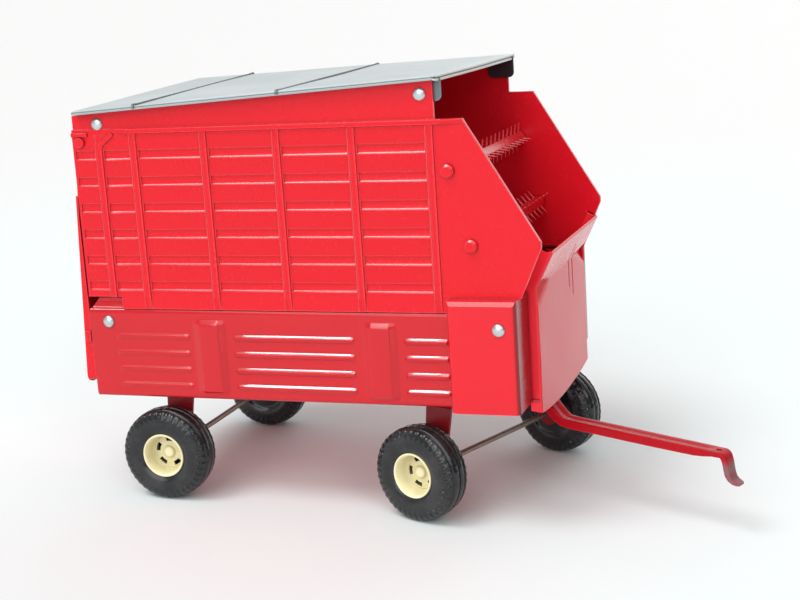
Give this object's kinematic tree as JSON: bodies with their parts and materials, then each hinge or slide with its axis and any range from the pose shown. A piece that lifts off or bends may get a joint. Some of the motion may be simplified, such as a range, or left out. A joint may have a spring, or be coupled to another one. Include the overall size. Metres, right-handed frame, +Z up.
{
  "type": "toy forage wagon",
  "caption": "Toy forage wagon on a four-wheel running gear: pressed bed, ribbed moulded sides, sloping roof, toothed beaters, hinged tailgate and steered tongue with a drop hook.",
  "frame": {"origin": "on the floor under the middle of the whole wagon, hook included", "axes": "+X forwards along the wagon's centre line, +Y to the wagon's left, +Z up from the floor the tyres stand on"},
  "size_m": [0.3654, 0.1696, 0.2393],
  "materials": {
    "red_moulding": "glossy injection moulding",
    "red_steel": "gloss enamel on pressed steel",
    "chassis_steel": "gloss enamel on pressed steel, dusty",
    "roof_steel": "satin pale grey enamel",
    "rivet": "domed, lightly worn",
    "axle_steel": "bare rod, lightly tarnished",
    "rim": "cream, slightly yellowed",
    "tyre": "moulded rubber"
  },
  "bodies": {
    "wagon_box": {"bed_pan": "red_steel", "side_panel_right": "red_moulding", "side_panel_left": "red_moulding", "roof": "roof_steel", "roof_rivets": "rivet", "side_rivets": "rivet", "corner_cover_right": "red_steel", "discharge_cover_left": "red_steel", "front_hopper": "red_steel", "front_bolster": "chassis_steel", "rear_bracket": "chassis_steel", "rear_bracket_rivets": "rivet", "rear_axle": "axle_steel", "kingpin": "rivet"},
    "tailgate": {"tailgate": "red_moulding", "tailgate_pins": "red_moulding"},
    "upper_beater": {"beater_upper_shaft": "red_moulding", "beater_upper_reel": "red_moulding"},
    "lower_beater": {"beater_lower_shaft": "red_moulding", "beater_lower_reel": "red_moulding"},
    "front_gear": {"front_bracket": "chassis_steel", "front_axle": "axle_steel", "tongue": "red_steel", "hitch_end": "red_steel", "tongue_rivets": "rivet"},
    "wheel_rear_right": {"rim_rear_right": "rim", "tyre_rear_right": "tyre"},
    "wheel_rear_left": {"rim_rear_left": "rim", "tyre_rear_left": "tyre"},
    "wheel_front_right": {"rim_front_right": "rim", "tyre_front_right": "tyre"},
    "wheel_front_left": {"rim_front_left": "rim", "tyre_front_left": "tyre"}
  },
  "joints": [
    {"name": "front_gear_steer", "type": "hinge", "parent": "wagon_box", "child": "front_gear", "pos_m": [0.03669, 0, 0.06], "axis": [0, 0, 1], "range_deg": [-21, 59]},
    {"name": "tailgate_hinge", "type": "hinge", "parent": "wagon_box", "child": "tailgate", "pos_m": [-0.17556, 0, 0.20124], "axis": [0, 1, 0], "range_deg": [0, 90]},
    {"name": "upper_beater_spin", "type": "hinge", "parent": "wagon_box", "child": "upper_beater", "pos_m": [0.03465, 0, 0.19037], "axis": [0, 1, 0], "continuous": true},
    {"name": "lower_beater_spin", "type": "hinge", "parent": "wagon_box", "child": "lower_beater", "pos_m": [0.04638, 0, 0.15231], "axis": [0, 1, 0], "continuous": true},
    {"name": "wheel_rear_right_spin", "type": "hinge", "parent": "wagon_box", "child": "wheel_rear_right", "pos_m": [-0.13481, -0.0693, 0.026], "axis": [0, 1, 0], "continuous": true},
    {"name": "wheel_rear_left_spin", "type": "hinge", "parent": "wagon_box", "child": "wheel_rear_left", "pos_m": [-0.13481, 0.0693, 0.026], "axis": [0, 1, 0], "continuous": true},
    {"name": "wheel_front_right_spin", "type": "hinge", "parent": "front_gear", "child": "wheel_front_right", "pos_m": [0.01413, -0.06552, 0.026], "axis": [0.3256, 0.9455, 0], "continuous": true},
    {"name": "wheel_front_left_spin", "type": "hinge", "parent": "front_gear", "child": "wheel_front_left", "pos_m": [0.05925, 0.06552, 0.026], "axis": [0.3256, 0.9455, 0], "continuous": true}
  ]
}
